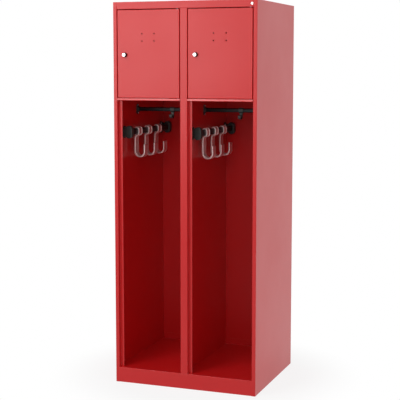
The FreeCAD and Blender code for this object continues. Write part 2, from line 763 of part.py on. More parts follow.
def socket_fixings():
    """Studs and dome nuts of the four rail sockets."""
    fixings = []
    for bay in BAYS:
        for inward, out in ((0, ALONG_X), (bay.right_wall - bay.left_wall, -ALONG_X)):
            for up in CUP_STUDS:
                fixings.append(fixing(cross_point(bay, inward) + ALONG_Z * up, out, CUP_FLOOR))
    return Part.makeCompound(fixings)


def slide_hook(bay):
    """Moulded hook: a ring that runs on the clothes rail and a crook that opens to the front."""
    half = SLIDE_RING_LONG / 2
    start = cross_point(bay, SLIDE_HOOK_IN - half)
    along = ALONG_X * SLIDE_RING_LONG
    ring = oval_bar(grown(CROSS_OVAL, SLIDE_RING_WALL), start, along)
    bore = oval_bar(grown(CROSS_OVAL, SLIDING), start, along)
    wide, thick = SLIDE_STRAP
    low, out = SLIDE_HOOK_LOW, -SLIDE_HOOK_OUT
    corners = [(0, 0), (0, low), (out, low), (out, SLIDE_HOOK_TIP)]
    left = cross_point(bay, SLIDE_HOOK_IN - wide / 2)
    points = [left + Vector(0, along_y, up) for along_y, up in corners]
    crook = strap(points, [SLIDE_HOOK_BEND, SLIDE_HOOK_BEND], thick, ALONG_X * wide)
    crook = softened(crook, ALONG_X, [left.x, left.x + wide], STRAP_SOFT)
    return joined(ring, crook).cut(bore).Solids[0]


def carcass_nodes():
    """Pieces of the welded carcass that belong to neither bay."""
    return {
        "left_side_panel": side_panel(True),
        "right_side_panel": right_side_panel(),
        "centre_post": centre_post(),
        "centre_partition": centre_partition(),
        "back_panel": back_panel(),
        "top_panel": top_panel(),
        "floor_pan": floor_pan(),
        "rear_plinth": rear_plinth(),
        "door_buffers": door_buffers(),
        "header_disc": header_disc(),
        "bracket_fixings": bracket_fixings(),
        "socket_fixings": socket_fixings(),
    }


def bay_nodes(bay):
    """Pieces of one bay."""
    nodes = {
        "shelf": shelf(bay),
        "hinge_pins": hinge_pins(bay),
        "door_panel": door_panel(bay),
        "door_stiffener": door_stiffener(bay),
        "lock_housing": lock_housing(bay),
        "lock_nut": lock_nut(bay),
        "lock_plug": lock_plug(bay),
        "lock_cam": lock_cam(bay),
        "cam_screw": cam_screw(bay),
        "hook_rail": hook_rail(bay),
        "front_bracket": bracket(bay, True),
        "rear_bracket": bracket(bay, False),
        "clothes_rail": clothes_rail(bay),
        "rail_socket_1": rail_socket(bay, True),
        "rail_socket_2": rail_socket(bay, False),
        "slide_hook": slide_hook(bay),
    }
    for number, behind in enumerate(HOOK_PLACES, start=1):
        nodes[f"hook_sleeve_{number}"] = hook_sleeve(bay, behind)
        nodes[f"hook_{number}"] = cast_hook(bay, behind)
    return {f"{bay.name}_{name}": shape for name, shape in nodes.items()}


def main():
    """Build every piece and write one STEP file for each."""
    os.makedirs("parts", exist_ok=True)
    nodes = carcass_nodes()
    for bay in BAYS:
        nodes.update(bay_nodes(bay))
    for name, shape in nodes.items():
        sound = shape.isValid() and all(solid.Volume > 0 for solid in shape.Solids)
        print(f"{name}: {len(shape.Solids)} solids, {shape.Volume / 1000:.2f} cm3, sound {sound}")
        shape.exportStep(f"parts/{name}.step")


main()
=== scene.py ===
import json
import logging
import math
from dataclasses import dataclass, field
from enum import Enum
from typing import Any, Sequence

import bpy
import numpy as np
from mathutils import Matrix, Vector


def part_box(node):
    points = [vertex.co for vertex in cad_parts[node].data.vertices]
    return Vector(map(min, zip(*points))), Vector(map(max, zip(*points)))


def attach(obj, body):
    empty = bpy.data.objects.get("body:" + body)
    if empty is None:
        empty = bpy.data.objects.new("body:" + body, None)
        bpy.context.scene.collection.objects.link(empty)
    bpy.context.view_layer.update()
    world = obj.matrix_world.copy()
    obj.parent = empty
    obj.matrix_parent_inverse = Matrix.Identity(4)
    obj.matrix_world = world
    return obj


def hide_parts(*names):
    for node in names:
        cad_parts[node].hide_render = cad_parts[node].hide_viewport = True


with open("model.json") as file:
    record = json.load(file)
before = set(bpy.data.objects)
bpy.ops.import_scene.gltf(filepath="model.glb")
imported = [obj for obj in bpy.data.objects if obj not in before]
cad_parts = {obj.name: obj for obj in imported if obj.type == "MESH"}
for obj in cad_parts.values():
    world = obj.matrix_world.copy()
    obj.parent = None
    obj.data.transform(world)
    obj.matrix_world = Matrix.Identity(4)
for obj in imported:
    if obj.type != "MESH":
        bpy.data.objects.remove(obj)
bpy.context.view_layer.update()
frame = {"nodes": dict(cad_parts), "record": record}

# Looks of a two-bay firefighter locker of folded red sheet steel, with sliding hooks on oval rails.
# The locker's sizes are in millimetres in the CAD frame and become metres when a mesh is made. The studio's
# sizes are in metres.

LOG = logging.getLogger("locker")
MM = 0.001
ALONG_X = np.array((1.0, 0.0, 0.0))
ALONG_Y = np.array((0.0, 1.0, 0.0))
UP = np.array((0.0, 0.0, 1.0))
SIDES = ("left", "right")
HOOK_NUMBERS = (1, 2, 3)
WHITE = "#ffffff"
BODY_OF = {node: body for body, nodes in frame["record"]["behaviour"]["bodies"].items() for node in nodes}
SLOT_OF = {part["node"]: part["material_slot"] for part in frame["record"]["subparts"]}

# Faces that meet at more than this angle keep a crisp edge
SHARP_EDGE = math.radians(38)
# Radius of the small ring that ends a skin on its axis
POLE = 0.1
# Points on each half-round of an oval
HALF_ROUND_POINTS = 20
# Turn from one flat of a hexagon to the next
HEXAGON_TURN = math.pi / 3
# Distance after which the ring pattern repeats at a scale of 1
WAVE_PERIOD = math.pi / 10
# Octaves of the patches in a finish, and the noise values between which its roughness drifts
PATCH_DETAIL = 3.0
PATCH_VALUES = (0.3, 0.7)


def to_linear(code: str) -> tuple[float, float, float, float]:
    """Turn an sRGB hex colour into the linear colour that shaders use.

    A channel c becomes c / 12.92 up to 0.04045, and ((c + 0.055) / 1.055) to the power 2.4 above that.

    Args:
        code: Colour as "#rrggbb".

    Returns:
        Linear red, green, blue and an alpha of 1.
    """
    channels = np.array([int(code[start:start + 2], 16) for start in (1, 3, 5)]) / 255
    linear = np.where(channels <= 0.04045, channels / 12.92, ((channels + 0.055) / 1.055) ** 2.4)
    return (*linear.tolist(), 1.0)


def add_node(
    tree: bpy.types.NodeTree,
    kind: str,
    settings: dict[str, Any] | None = None,
    values: dict[str | int, Any] | None = None,
    links: dict[str | int, bpy.types.NodeSocket] | None = None,
) -> bpy.types.Node:
    """Add a node with its settings, socket values and incoming links.

    Args:
        tree: Node tree that gets the node.
        kind: Blender's name of the node type.
        settings: Properties of the node itself.
        values: Constant values of its input sockets.
        links: Output sockets of other nodes, by the input that they feed.

    Returns:
        The new node.
    """
    node = tree.nodes.new(kind)
    for name, value in (settings or {}).items():
        setattr(node, name, value)
    for name, value in (values or {}).items():
        node.inputs[name].default_value = value
    for name, source in (links or {}).items():
        tree.links.new(source, node.inputs[name])
    return node


def box_mm(node: str) -> tuple[np.ndarray, np.ndarray]:
    """Lowest and highest corner of a CAD node in millimetres."""
    low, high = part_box(node)
    return np.array(low) / MM, np.array(high) / MM


def disc_seat() -> tuple[float, float, float]:
    """Find where the header's disc sits.

    Returns:
        Middle of the disc's rear face.
    """
    low, high = box_mm("header_disc")
    middle = (low + high) / 2
    return middle[0], high[1], middle[2]


class Grain(Enum):
    """How the fine surface of a finish is patterned."""

    SOFT = "ShaderNodeTexNoise"
    CELLS = "ShaderNodeTexVoronoi"
    RINGS = "ShaderNodeTexWave"


@dataclass(frozen=True)
class Finish:
    """A surface finish: its two near colours, its gloss and the sizes of its patterns in millimetres."""

    name: str
    colour: str
    tint: str
    roughness: tuple[float, float]
    patch: float
    grain: Grain
    grain_size: float
    grain_depth: float
    metallic: float = 0.0
    specular: float = 0.5
    centre: tuple[float, float, float] = (0.0, 0.0, 0.0)

    def material(self) -> bpy.types.Material:
        """Build the material once and hand out the same one afterwards.

        The colour drifts between colour and tint in patches, the roughness drifts with them, and the
        grain lifts the surface by its depth.

        Returns:
            The material of this finish.
        """
        found = bpy.data.materials.get(self.name)
        if found is not None:
            return found
        material = bpy.data.materials.new(self.name)
        material.use_nodes = True
        tree = material.node_tree
        shader = tree.nodes["Principled BSDF"]
        shader.inputs["Metallic"].default_value = self.metallic
        shader.inputs["Specular IOR Level"].default_value = self.specular
        coordinates = add_node(tree, "ShaderNodeTexCoord")
        placed = add_node(
            tree, "ShaderNodeMapping", {}, {"Location": [-value * MM for value in self.centre]},
            {"Vector": coordinates.outputs["Object"]},
        )
        patches = add_node(
            tree, "ShaderNodeTexNoise", {}, {"Scale": 1 / (self.patch * MM), "Detail": PATCH_DETAIL},
            {"Vector": placed.outputs["Vector"]},
        )
        colours = add_node(
            tree, "ShaderNodeMix", {"data_type": "RGBA"},
            {6: to_linear(self.colour), 7: to_linear(self.tint)}, {0: patches.outputs["Fac"]},
        )
        tree.links.new(colours.outputs[2], shader.inputs["Base Color"])
        drift = dict(zip(("From Min", "From Max", "To Min", "To Max"), PATCH_VALUES + self.roughness))
        gloss = add_node(tree, "ShaderNodeMapRange", {}, drift, {"Value": patches.outputs["Fac"]})
        tree.links.new(gloss.outputs["Result"], shader.inputs["Roughness"])
        tree.links.new(self.bump(tree, placed).outputs["Normal"], shader.inputs["Normal"])
        return material

    def bump(self, tree: bpy.types.NodeTree, placed: bpy.types.Node) -> bpy.types.Node:
        """Add the grain of the finish as a bump.

        Args:
            tree: Node tree of the material.
            placed: Node that gives the centred coordinates.

        Returns:
            The bump node.
        """
        has_rings = self.grain is Grain.RINGS
        settings = {"wave_type": "RINGS", "rings_direction": "Y"} if has_rings else {}
        per_metre = (WAVE_PERIOD if has_rings else 1) / (self.grain_size * MM)
        grain = add_node(
            tree, self.grain.value, settings, {"Scale": per_metre}, {"Vector": placed.outputs["Vector"]}
        )
        height = grain.outputs["Distance" if self.grain is Grain.CELLS else "Fac"]
        lift = {"Strength": 1.0, "Distance": self.grain_depth * MM}
        return add_node(tree, "ShaderNodeBump", {}, lift, {"Height": height})


# Powder-coated sheet steel, sprayed and baked: a deep even red under a semi-gloss skin with a faint
# orange-peel ripple. Real peel is about 2 mm across and is drawn at 6 mm, so that it shows.
POWDER_COAT = Finish(
    name="powder_coated_steel_red", colour="#d21a1c", tint="#cb181a", roughness=(0.28, 0.33), patch=240,
    grain=Grain.SOFT, grain_size=6, grain_depth=0.004, specular=0.45,
)
# Steel tube with a baked black coat: near black with a soft line of light along its crown.
COATED_TUBE = Finish(
    name="baked_black_coat_on_steel_tube", colour="#0b0b0c", tint="#101012", roughness=(0.42, 0.52),
    patch=60, grain=Grain.SOFT, grain_size=2.5, grain_depth=0.01, specular=0.3,
)
# Injection-moulded black nylon with a fine spark-eroded texture: dark grey with a broad dull sheen.
MOULDED_NYLON = Finish(
    name="moulded_black_nylon", colour="#2a312f", tint="#313936", roughness=(0.42, 0.52), patch=25,
    grain=Grain.SOFT, grain_size=1.6, grain_depth=0.02,
)
# Die-cast aluminium, tumbled: a pale metal that mirrors the red of the walls round it, while its thin oxide
# skin keeps the faces that turn away from the light pale. Its colour and tint are pale pink: a painted
# reflection of the red walls.
CAST_ALUMINIUM = Finish(
    name="die_cast_aluminium_tumbled_painted_pink_reflection", colour="#ecdad8", tint="#e0cecc", roughness=(0.30, 0.40), patch=18,
    grain=Grain.SOFT, grain_size=1.8, grain_depth=0.02, metallic=0.7,
)
# Zinc die casting with a black lacquer: dark with a clear small light on its rim.
BLACK_LACQUER = Finish(
    name="black_lacquered_zinc_casting", colour="#121213", tint="#18181a", roughness=(0.30, 0.38), patch=7,
    grain=Grain.SOFT, grain_size=1.2, grain_depth=0.006,
)
# Chrome plate, polished: a clear, almost colourless mirror of the room.
CHROME = Finish(
    name="polished_chrome_plate", colour="#e6e6e8", tint="#dcdde0", roughness=(0.06, 0.12), patch=9,
    grain=Grain.SOFT, grain_size=4, grain_depth=0.002, metallic=1.0,
)
# Bright zinc plate on steel: pale grey with a cool, slightly cloudy crystal pattern.
BRIGHT_ZINC = Finish(
    name="bright_zinc_plate", colour="#b4b8bc", tint="#a2a7ad", roughness=(0.24, 0.36), patch=8,
    grain=Grain.CELLS, grain_size=2.2, grain_depth=0.01, metallic=1.0,
)
# Black rubber, moulded: matt and slightly grey on its raised grain.
RUBBER = Finish(
    name="moulded_black_rubber", colour="#141414", tint="#1c1c1c", roughness=(0.7, 0.8), patch=6,
    grain=Grain.SOFT, grain_size=0.8, grain_depth=0.03,
)
# Aluminium blank, spun: pale satin with fine turning rings. Real rings are 0.1 mm apart and are drawn at
# 0.6 mm, so that they show in a close view.
SPUN_ALUMINIUM = Finish(
    name="spun_aluminium", colour="#e4e2e0", tint="#d8d6d4", roughness=(0.22, 0.30), patch=6,
    grain=Grain.RINGS, grain_size=0.6, grain_depth=0.004, metallic=1.0, centre=disc_seat(),
)

FINISH_OF_SLOT = {
    "red_powder_coat": POWDER_COAT,
    "black_coated_tube": COATED_TUBE,
    "black_moulding": MOULDED_NYLON,
    "cast_aluminium": CAST_ALUMINIUM,
    "black_die_cast": BLACK_LACQUER,
    "lock_chrome": CHROME,
    "zinc_steel": BRIGHT_ZINC,
    "plain_aluminium": SPUN_ALUMINIUM,
    "rubber": RUBBER,
}


@dataclass
class Skin:
    """Closed skin on a grid of points: a ring of points round each section, one section after another."""

    rows: np.ndarray
    is_ring: bool = False

    def quads(self) -> np.ndarray:
        """Join each section to the next.

        Face (k, j) has the corners (k, j), (k, j+1), (k+1, j+1) and (k+1, j), closed round the section.

        Returns:
            Corner numbers of each face.
        """
        count, columns = self.rows.shape[:2]
        here = np.arange(count * columns).reshape(count, columns)
        beside = np.roll(here, -1, axis=1)
        quads = np.stack((here, beside, np.roll(beside, -1, axis=0), np.roll(here, -1, axis=0)), axis=-1)
        kept = quads if self.is_ring else quads[:-1]
        return kept.reshape(-1, 4)

    def caps(self) -> np.ndarray:
        """Close the first and the last section, unless they join.

        Returns:
            Corner numbers of the two end faces, or none.
        """
        count, columns = self.rows.shape[:2]
        first = np.arange(columns)
        if self.is_ring:
            return np.empty((0, columns), dtype=int)
        return np.stack((first[::-1], first + (count - 1) * columns))

    def faces(self, start: int) -> list[list[int]]:
        """List all faces, turned so that they point outwards.

        The volume is a sixth of the sum of a . (b x c) over triangles of the faces, and it is negative
        where they point inwards.

        Args:
            start: Number of the skin's first point in the mesh.

        Returns:
            Corner numbers of each face.
        """
        points = self.rows.reshape(-1, 3) - self.rows.reshape(-1, 3).mean(axis=0)
        volume = 0.0
        for group in (self.quads(), self.caps()):
            corners = points[group]
            turning = np.cross(corners[:, 1:-1], corners[:, 2:])
            volume += np.einsum("fk,fjk->", corners[:, 0], turning)
        order = 1 if volume > 0 else -1
        return [face[::order].tolist() for group in (self.quads(), self.caps()) for face in group + start]


def dress(node: str) -> None:
    """Give a CAD node that keeps its shape the finish of its slot.

    Args:
        node: CAD node that stays in sight.
    """
    materials = frame["nodes"][node].data.materials
    materials.clear()
    materials.append(FINISH_OF_SLOT[SLOT_OF[node]].material())
    LOG.info("dressed %s", node)


def stand_for(node: str, kind: str, skins: Sequence[Skin]) -> None:
    """Make a smooth piece from skins, dress it, and let it stand for a CAD node on the node's body.

    Args:
        node: CAD node that the piece replaces.
        kind: Word added to the node's name for the piece's name.
        skins: Closed skins of the piece, in millimetres.
    """
    points = [skin.rows.reshape(-1, 3) for skin in skins]
    starts = np.cumsum([0] + [len(group) for group in points])
    faces = [face for skin, start in zip(skins, starts) for face in skin.faces(int(start))]
    mesh = bpy.data.meshes.new(f"{node}_{kind}")
    mesh.from_pydata((np.concatenate(points) * MM).tolist(), [], faces)
    mesh.polygons.foreach_set("use_smooth", np.ones(len(faces), dtype=bool))
    mesh.set_sharp_from_angle(angle=SHARP_EDGE)
    mesh.materials.append(FINISH_OF_SLOT[SLOT_OF[node]].material())
    piece = bpy.data.objects.new(f"{node}_{kind}", mesh)
    bpy.context.scene.collection.objects.link(piece)
    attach(piece, BODY_OF[node])
    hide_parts(node)
    LOG.info("made %s with %d faces", piece.name, len(faces))


def rounded_run(
    corners: Sequence[Sequence[float]], radii: Sequence[float], steps: int = 8
) -> tuple[np.ndarray, np.ndarray]:
    """Follow straight stretches whose corners are arcs.

    An arc that turns by w has the direction (a sin((1-s)w) + b sin(sw)) / sin w for s from 0 to 1, where
    a and b are the directions before and after it, and its points lie one radius from its centre.

    Args:
        corners: Points of the run, the first and last of them its ends.
        radii: Radius of the arc at each point between the ends.
        steps: Points on each arc.

    Returns:
        Points of the run and the directions there.
    """
    points = np.asarray(corners, dtype=float)
    heads = np.diff(points, axis=0)
    heads /= np.linalg.norm(heads, axis=1, keepdims=True)
    share = np.linspace(0, 1, steps)[:, None]
    places, ways = [points[:1]], [heads[:1]]
    for corner, before, after, radius in zip(points[1:-1], heads, heads[1:], radii):
        turn = math.acos(float(np.clip(before @ after, -1, 1)))
        fading = np.sin((1 - share) * turn) / math.sin(turn)
        growing = np.sin(share * turn) / math.sin(turn)
        inward_first = (after - before * math.cos(turn)) / math.sin(turn)
        inward_last = (after * math.cos(turn) - before) / math.sin(turn)
        centre = corner - before * (radius * math.tan(turn / 2)) + inward_first * radius
        places.append(centre - radius * (inward_first * fading + inward_last * growing))
        ways.append(before * fading + after * growing)
    places.append(points[-1:])
    ways.append(heads[-1:])
    return np.concatenate(places), np.concatenate(ways)


def rounded_profile(corners: Sequence[Sequence[float]], radii: Sequence[float]) -> np.ndarray:
    """Points of a run with rounded corners: radius from an axis and distance along it."""
    return rounded_run(corners, radii)[0]


def oval_rows(
    centre: np.ndarray, axis: np.ndarray, along: np.ndarray, radius: np.ndarray, straight: np.ndarray
) -> np.ndarray:
    """Draw upright ovals square to an axis.

    Point (k, t) = centre + axis along[k] + across radius[k] cos t + up (radius[k] sin t + side
    straight[k]), where side is 1 on the upper half-round and -1 on the lower one.

    Args:
        centre: Point on the axis.
        axis: Direction of the axis, level.
        along: Distance of each oval along the axis.
        radius: Radius of its half-rounds.
        straight: Half of its straight sides.

    Returns:
        Points as an array of ovals, points on an oval, and coordinates.
    """
    half_turn = np.linspace(0, math.pi, HALF_ROUND_POINTS)
    angle = np.concatenate((half_turn, half_turn + math.pi))
    side = np.repeat((1.0, -1.0), HALF_ROUND_POINTS)
    across = np.cross(UP, axis)
    level = radius[:, None] * np.cos(angle)
    height = radius[:, None] * np.sin(angle) + straight[:, None] * side
    return centre + along[:, None, None] * axis + level[..., None] * across + height[..., None] * UP


def turned_rows(
    base: np.ndarray, axis: np.ndarray, profile: np.ndarray, flats: float = 0.0, columns: int = 48
) -> np.ndarray:
    """Turn a profile round a level axis, with six flats where it is wider than they are.

    Point (k, t) = base + axis along[k] + r (across cos t + aside sin t), with r the profile's radius or, if
    that is less, half the flats' distance / cos(t - the nearest flat's angle).

    Args:
        base: Point on the axis.
        axis: Direction of the axis.
        profile: Radius and distance along the axis of each ring.
        flats: Distance across the flats, or 0 for a round piece.
        columns: Points on each ring.

    Returns:
        Points as an array of rings, points on a ring, and coordinates.
    """
    angle = np.linspace(0, 2 * math.pi, columns, endpoint=False)
    across = np.cross(UP, axis)
    aside = np.cross(axis, across)
    radius = np.repeat(profile[:, :1], columns, axis=1)
    if flats:
        from_flat = np.mod(angle, HEXAGON_TURN) - HEXAGON_TURN / 2
        radius = np.minimum(radius, flats / 2 / np.cos(from_flat))
    out = np.cos(angle)[:, None] * across + np.sin(angle)[:, None] * aside
    return base + profile[:, 1, None, None] * axis + radius[..., None] * out


def eased(value: np.ndarray) -> np.ndarray:
    """Smooth step x x (3 - 2 x) of values held between 0 and 1."""
    held = np.clip(value, 0, 1)
    return held * held * (3 - 2 * held)


@dataclass(frozen=True)
class Strap:
    """Band of metal or plastic along a bent run, with softened edges, raised rims and a half-round tip.

    The web starts to rise rim_foot rim widths from an edge and bead_foot bead widths from the end.
    """

    wide: float
    rim_thick: float
    web_thick: float
    rim_wide: float
    soft: float
    bead: float = 0.0
    rim_foot: float = 1.5
    bead_foot: float = 1.6
    spacing: float = 1.6
    columns: int = 33
    arc_points: int = 24
    tip_points: int = 10

    def half_thickness(self, across: np.ndarray, to_tip: np.ndarray) -> np.ndarray:
        """Work out half the strap's thickness over its width and length.

        The web rises into the rims by a smooth step, fills up to the rims' thickness at the tip's bead, and
        falls at the edges by a quarter circle.

        Args:
            across: Distances from the middle line.
            to_tip: Distances from the end of the run.

        Returns:
            Half thickness by row and place across, with one row for all where there is no bead.
        """
        from_edge = self.wide / 2 - np.abs(across)
        raised = eased(self.rim_foot - from_edge / self.rim_wide)[None, :]
        if self.bead:
            raised = np.maximum(raised, eased(self.bead_foot - to_tip / self.bead)[:, None])
        body = self.web_thick + (self.rim_thick - self.web_thick) * raised
        into_soft = np.clip(self.soft - from_edge, 0, self.soft)
        return body / 2 - (self.soft - np.sqrt(self.soft ** 2 - into_soft ** 2))

    def skin(self, corners: Sequence[np.ndarray], radii: Sequence[float], broad: np.ndarray) -> Skin:
        """Carry the section along a run.

        Point = run(s) + broad v + square h(v, s), with v across the strap, h its half thickness on one face
        and minus that on the other, and past the end h shrinks as a half circle.

        Args:
            corners: Points of the run.
            radii: Arc radii at the points between its ends.
            broad: Direction across the strap.

        Returns:
            The closed skin.
        """
        places, ways = rounded_run(corners, radii, self.arc_points)
        length = np.concatenate(([0.0], np.cumsum(np.linalg.norm(np.diff(places, axis=0), axis=1))))
        even = np.linspace(0, length[-1], int(length[-1] / self.spacing))
        run = np.stack([np.interp(even, length, places[:, axis]) for axis in range(3)], axis=1)
        way = np.stack([np.interp(even, length, ways[:, axis]) for axis in range(3)], axis=1)
        way /= np.linalg.norm(way, axis=1, keepdims=True)
        tip = np.linspace(0, math.pi / 2, self.tip_points)[1:-1]
        beyond = run[-1] + np.sin(tip)[:, None] * way[-1] * (self.rim_thick / 2)
        run = np.concatenate((run, beyond))
        way = np.concatenate((way, np.repeat(way[-1:], len(tip), axis=0)))
        shrink = np.concatenate((np.ones(len(even)), np.cos(tip)))
        to_tip = np.concatenate((length[-1] - even, np.zeros(len(tip))))
        across = self.wide / 2 * np.sin(np.linspace(-math.pi / 2, math.pi / 2, self.columns))
        half = self.half_thickness(across, to_tip) * shrink[:, None]
        square = np.cross(broad, way)
        near = run[:, None] + across[:, None] * broad + half[..., None] * square[:, None]
        far = run[:, None] + across[:, None] * broad - half[..., None] * square[:, None]
        return Skin(np.concatenate((near, far[:, ::-1]), axis=1))


@dataclass
class OvalRail:
    """Upright oval tube of a rail, measured on its CAD node."""

    node: str
    axis: np.ndarray
    ends: np.ndarray = field(init=False)
    middle: np.ndarray = field(init=False)
    radius: float = field(init=False)
    straight: float = field(init=False)

    def __post_init__(self) -> None:
        """Measure the ends along the axis, the middle, the half-rounds and half of the straight sides."""
        low, high = box_mm(self.node)
        lengthwise = int(np.argmax(self.axis))
        crosswise = 1 - lengthwise
        self.ends = np.array((low[lengthwise], high[lengthwise]))
        self.middle = (low + high) / 2
        self.radius = (high[crosswise] - low[crosswise]) / 2
        self.straight = (high[2] - low[2]) / 2 - self.radius

    def tube(self, wall: float) -> None:
        """Make the tube: ovals at both ends of the outside, and back along the bore.

        Args:
            wall: Thickness of the tube's wall.
        """
        along = self.ends[[0, 1, 1, 0]] - self.middle @ self.axis
        radii = self.radius - np.array((0.0, 0.0, wall, wall))
        rows = oval_rows(self.middle, self.axis, along, radii, np.full(4, self.straight))
        stand_for(self.node, "tube", [Skin(rows, is_ring=True)])


@dataclass
class Carcass:
    """Welded sheet-steel carcass with the small parts that are fixed to it."""

    kept: tuple[str, ...] = (
        "left_side_panel", "right_side_panel", "centre_post", "centre_partition", "back_panel", "top_panel",
        "floor_pan", "rear_plinth", "left_shelf", "right_shelf", "door_buffers", "left_hinge_pins",
        "right_hinge_pins",
    )
    disc_rim: float = 0.7
    disc_slope: float = 0.4
    dish_share: float = 0.7
    disc_rounds: tuple[float, ...] = (0.3, 0.2, 0.4, 0.05)

    def build(self) -> None:
        """Dress the sheets, the buffers and the pivot pins, and make the disc."""
        for node in self.kept:
            dress(node)
        self.header_disc()

    def header_disc(self) -> None:
        """Make the plain disc on the header: a shallow dish inside a rounded rim, turned round its axis."""
        low, high = box_mm("header_disc")
        radius = (high[0] - low[0]) / 2
        thick = high[1] - low[1]
        dish = thick * self.dish_share
        inner = radius - self.disc_rim
        corners = [
            (POLE, dish), (inner - self.disc_slope, dish), (inner, thick), (radius, thick), (radius, 0),
            (POLE, 0),
        ]
        profile = rounded_profile(corners, self.disc_rounds)
        stand_for("header_disc", "spun", [Skin(turned_rows(np.array(disc_seat()), -ALONG_Y, profile))])


@dataclass
class Door:
    """One hinged door with its stiffener and its cam lock."""

    side: str
    kept: tuple[str, ...] = (
        "door_panel", "door_stiffener", "lock_nut", "lock_plug", "lock_cam", "cam_screw",
    )
    face: float = 8.5
    recess_wide: float = 7.55
    recess_deep: float = 3.05
    proud: float = 16.0
    shank: float = 8.0
    bore: float = 6.05
    head_rounds: tuple[float, ...] = (0.1, 0.15, 0.8, 0.4, 0.2, 0.4)
    columns: int = 72

    def build(self) -> None:
        """Dress the folded and stamped parts and make the turned lock head."""
        for part in self.kept:
            dress(f"{self.side}_{part}")
        self.lock_head()

    def lock_head(self) -> None:
        """Make the lock's housing by turning a profile.

        It is a tapered head with a recess for the plug, and the shank behind it.
        """
        node = f"{self.side}_lock_housing"
        low, high = box_mm(node)
        foot = (high[0] - low[0]) / 2
        deep = high[1] - low[1]
        corners = [
            (self.bore, self.recess_deep), (self.recess_wide, self.recess_deep), (self.recess_wide, 0),
            (self.face, 0), (foot, self.proud), (self.shank, self.proud), (self.shank, deep),
            (self.bore, deep),
        ]
        profile = rounded_profile(corners, self.head_rounds)
        base = np.array(((low[0] + high[0]) / 2, low[1], (low[2] + high[2]) / 2))
        rows = turned_rows(base, ALONG_Y, profile, columns=self.columns)
        stand_for(node, "turned", [Skin(rows, is_ring=True)])


@dataclass
class HookRail:
    """Oval tube along a bay's left wall, with the moulded brackets that hold its ends."""

    side: str
    wall: float = 1.2
    head_thick: float = 25.0
    head_tall: float = 60.0
    head_wide: float = 36.0
    head_round: float = 4.0
    rail_side_round: float = 2.4
    head_crown: float = 1.0
    crown_edge: float = 0.6
    crown_round: float = 30.0
    neck_tall: float = 44.0
    neck_back: float = 5.0
    neck_front: float = 3.0
    foot_thick: float = 4.0
    foot_rounds: tuple[float, float] = (0.2, 1.0)
    foot_margin: float = 1.5
    socket_deep: float = 13.0
    socket_room: float = 0.05

    def build(self) -> None:
        """Make the tube and its two brackets."""
        rail = OvalRail(f"{self.side}_hook_rail", ALONG_Y)
        rail.tube(self.wall)
        for place, inward in (("front", ALONG_Y), ("rear", -ALONG_Y)):
            self.bracket(f"{self.side}_{place}_bracket", rail, inward)

    def bracket(self, node: str, rail: OvalRail, inward: np.ndarray) -> None:
        """Make one bracket: an oval head with a crowned face and a socket, a neck and a foot on the wall.

        The head is ovals along the rail's axis, over the crowned face and the side to the socket's floor.

        Args:
            node: CAD node of the bracket.
            rail: Rail that the bracket holds.
            inward: Direction from the plain face towards the rail.
        """
        low, high = box_mm(node)
        face = low[1] if inward[1] > 0 else high[1]
        base = np.array((rail.middle[0], face, rail.middle[2]))
        half = self.head_wide / 2
        stretch = self.head_tall / 2 - half
        inner = half - self.head_round
        corners = [
            (POLE, 0), (inner, self.crown_edge), (half, self.head_crown), (half, self.head_thick),
            (inner, self.head_thick),
        ]
        profile = rounded_profile(corners, (self.crown_round, self.head_round, self.rail_side_round))
        socket = rail.radius + self.socket_room
        floor = self.head_thick - self.socket_deep
        radii = np.concatenate((profile[:, 0], (socket, socket, POLE)))
        along = np.concatenate((profile[:, 1], (self.head_thick, floor, floor)))
        spread = np.minimum(profile[:, 0] / inner, 1) * stretch
        straights = np.concatenate((spread, (rail.straight, rail.straight, POLE)))
        head = Skin(oval_rows(base, inward, along, radii, straights))
        stand_for(node, "moulding", [head, *self.neck_and_foot(base, low[0], inward, high[1] - low[1])])

    def neck_and_foot(
        self, base: np.ndarray, wall: float, inward: np.ndarray, reach: float
    ) -> list[Skin]:
        """Make the neck from the head to the wall and the foot plate against it, as ovals along X.

        Args:
            base: Middle of the head's plain face.
            wall: Place of the wall along X.
            inward: Direction from the plain face towards the rail.
            reach: Length of the whole bracket along the rail.

        Returns:
            The two closed skins.
        """
        skins = []
        neck_wide = self.head_thick - self.neck_back - self.neck_front
        foot_wide = reach - self.neck_back
        parts = ((neck_wide, self.neck_tall, base[0] - wall), (foot_wide, self.head_tall, self.foot_thick))
        for wide, tall, out in parts:
            start = base + inward * (self.neck_back + wide / 2)
            start[0] = wall
            radius = wide / 2
            corners = [(POLE, 0), (radius, 0), (radius, out), (POLE, out)]
            profile = rounded_profile(corners, self.foot_rounds)
            straights = np.minimum(profile[:, 0] / (radius - self.foot_margin), 1) * (tall / 2 - radius)
            skins.append(Skin(oval_rows(start, ALONG_X, profile[:, 1], profile[:, 0], straights)))
        return skins


